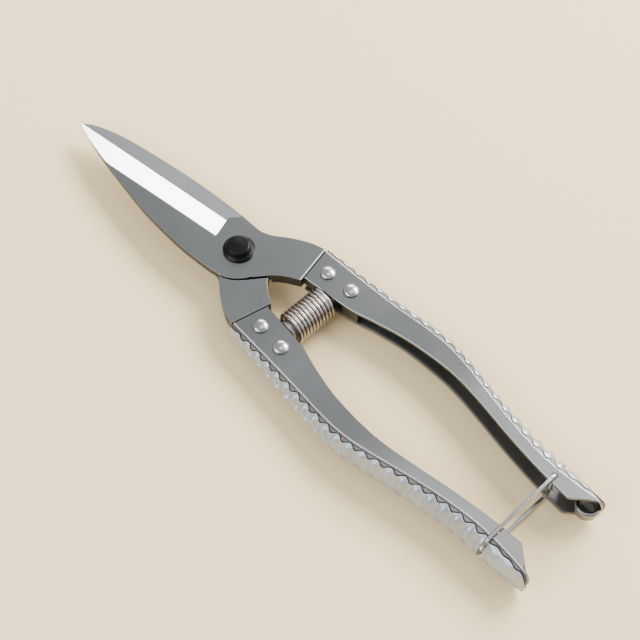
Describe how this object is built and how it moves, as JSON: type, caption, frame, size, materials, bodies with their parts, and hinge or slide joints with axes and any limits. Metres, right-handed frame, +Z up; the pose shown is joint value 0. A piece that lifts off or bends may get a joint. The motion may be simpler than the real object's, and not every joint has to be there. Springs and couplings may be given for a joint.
{
  "type": "floral snips",
  "caption": "Hand snips with long bypass blades on a pivot bolt, pressed channel handles, a coil spring between the tangs and a wire catch across the handle ends.",
  "frame": {"origin": "middle of the snips' bounding box, on the surface they lie on", "axes": "+X from the blade tips to the handle ends, +Y to the right handle, +Z up through the pivot bolt's head"},
  "size_m": [0.2034, 0.0488, 0.0132],
  "materials": {
    "blade_steel": "satin ground steel",
    "handle_steel": "satin pressed steel",
    "rivet_steel": "bright",
    "bolt_black": "black oxide, semi-gloss",
    "nut_steel": "zinc plated",
    "spring_steel": "bright drawn wire",
    "stud_steel": "turned",
    "catch_steel": "bright drawn wire"
  },
  "bodies": {
    "left_lever": {"lower_blade": "blade_steel", "left_handle": "handle_steel", "left_front_rivet": "rivet_steel", "left_rear_rivet": "rivet_steel", "left_spring_stud": "stud_steel", "pivot_bolt": "bolt_black", "pivot_washer": "nut_steel", "pivot_nut": "nut_steel", "coil_spring": "spring_steel"},
    "right_lever": {"upper_blade": "blade_steel", "right_handle": "handle_steel", "right_front_rivet": "rivet_steel", "right_rear_rivet": "rivet_steel", "right_spring_stud": "stud_steel"},
    "catch": {"wire_catch": "catch_steel"}
  },
  "joints": [
    {"name": "blade_pivot", "type": "hinge", "parent": "left_lever", "child": "right_lever", "pos_m": [-0.0269, 0, 0.0066], "axis": [0, 0, 1], "range_deg": [-4, 20], "deforming": ["coil_spring"]},
    {"name": "catch_swing", "type": "hinge", "parent": "right_lever", "child": "catch", "pos_m": [0.0874, 0.0114, 0.0066], "axis": [0, 0, 1], "range_deg": [0, 180], "deforming": ["wire_catch"]}
  ]
}
